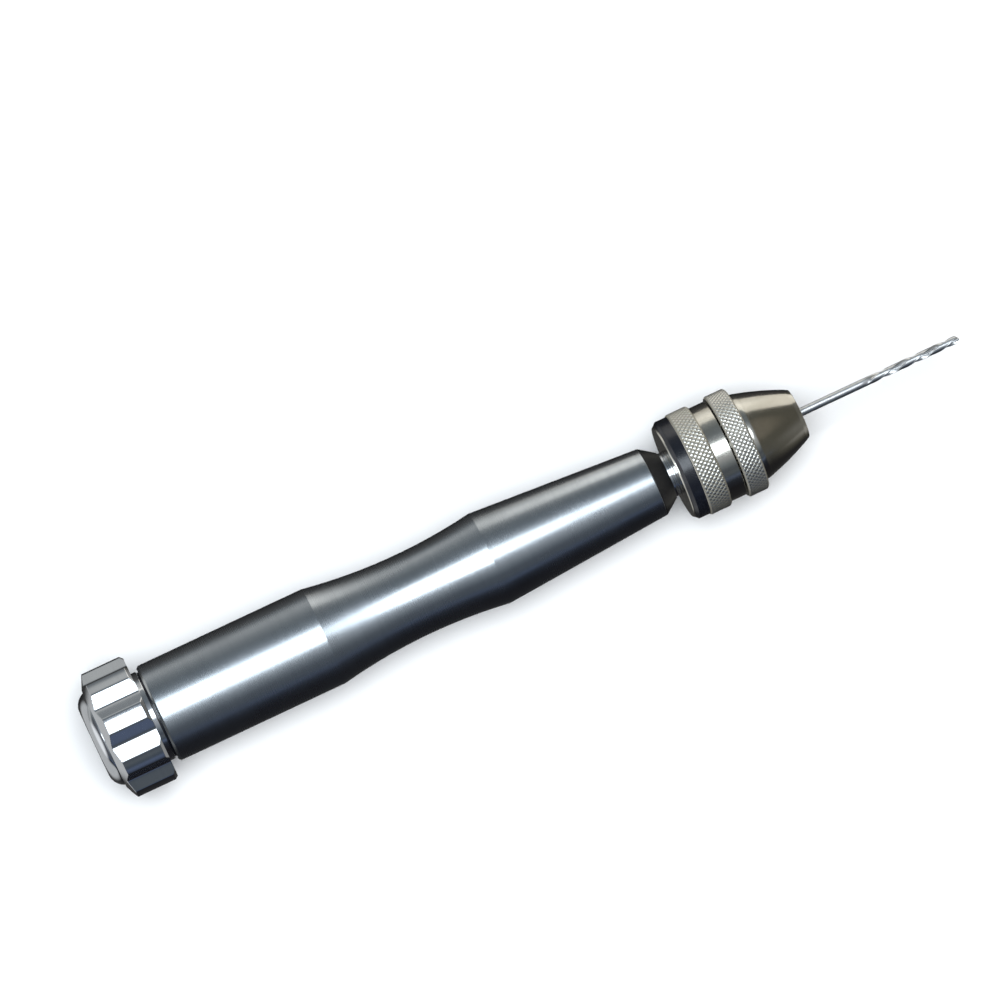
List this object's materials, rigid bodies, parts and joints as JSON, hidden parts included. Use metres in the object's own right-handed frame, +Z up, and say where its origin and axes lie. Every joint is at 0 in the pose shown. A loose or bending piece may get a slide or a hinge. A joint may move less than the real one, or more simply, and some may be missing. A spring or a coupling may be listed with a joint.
{
  "type": "pin vise drill",
  "caption": "Hand-turned pin vise drill: fluted swivelling palm cap, waisted turned handle, keyless three-jaw chuck with knurled bands, twist drill fitted.",
  "frame": {"origin": "on the tool's axis, centre of the palm cap's flat rear face", "axes": "+X along the axis from the palm cap to the drill's point, +Z up, tool lying down"},
  "size_m": [0.1763, 0.025, 0.0247],
  "materials": {
    "aluminium": "turned and satin anodised, fine lathe lines",
    "polished_aluminium": "polished",
    "nickel": "satin nickel plate",
    "steel": "bright steel",
    "black_metal": "satin black",
    "black_plastic": "satin"
  },
  "bodies": {
    "handle": {"handle_barrel": "aluminium", "front_collar": "black_metal", "spindle": "nickel", "axle_screw": "steel", "spacer_washer": "steel", "dust_washer": "black_plastic", "bearing_inner_race": "steel", "chuck_body": "nickel", "backing_ring": "black_plastic", "rear_collar": "nickel", "thrust_race": "steel"},
    "cap": {"swivel_cap": "polished_aluminium", "cap_cover": "polished_aluminium", "bearing_outer_race": "steel", "bearing_shields": "steel"},
    "bearing_ball_set": {"bearing_balls": "steel", "bearing_cage": "steel"},
    "sleeve": {"front_sleeve": "nickel", "nut_half_a": "steel", "nut_half_b": "steel"},
    "thrust_ball_set": {"thrust_balls": "steel"},
    "jaw_1": {"jaw_1": "steel"},
    "jaw_2": {"jaw_2": "steel"},
    "jaw_3": {"jaw_3": "steel"},
    "bit": {"drill_bit": "steel"}
  },
  "joints": [
    {"name": "cap_swivel", "type": "hinge", "parent": "handle", "child": "cap", "pos_m": [0.009, 0, 0], "axis": [1, 0, 0], "continuous": true},
    {"name": "bearing_roll", "type": "hinge", "parent": "handle", "child": "bearing_ball_set", "pos_m": [0.0095, 0, 0], "axis": [1, 0, 0], "continuous": true},
    {"name": "sleeve_turn", "type": "hinge", "parent": "handle", "child": "sleeve", "pos_m": [0.1341, 0, 0], "axis": [1, 0, 0], "range_deg": [0, 1676]},
    {"name": "thrust_roll", "type": "hinge", "parent": "handle", "child": "thrust_ball_set", "pos_m": [0.1281, 0, 0], "axis": [1, 0, 0], "range_deg": [0, 839]},
    {"name": "jaw_1_slide", "type": "slide", "parent": "handle", "child": "jaw_1", "axis": [-0.9703, 0, 0.2419], "range_m": [0, 0.0036]},
    {"name": "jaw_2_slide", "type": "slide", "parent": "handle", "child": "jaw_2", "axis": [-0.9703, -0.2095, -0.121], "range_m": [0, 0.0036]},
    {"name": "jaw_3_slide", "type": "slide", "parent": "handle", "child": "jaw_3", "axis": [-0.9703, 0.2095, -0.121], "range_m": [0, 0.0036]},
    {"name": "bit_pull", "type": "slide", "parent": "handle", "child": "bit", "axis": [1, 0, 0], "range_m": [0, 0.012]}
  ],
  "couplings": [
    {"joint": "bearing_roll", "follows": "cap_swivel", "ratio": 0.63529},
    {"joint": "thrust_roll", "follows": "sleeve_turn", "ratio": 0.5},
    {"joint": "jaw_1_slide", "follows": "sleeve_turn", "m_per_rad": 0.00012302},
    {"joint": "jaw_2_slide", "follows": "sleeve_turn", "m_per_rad": 0.00012302},
    {"joint": "jaw_3_slide", "follows": "sleeve_turn", "m_per_rad": 0.00012302}
  ]
}
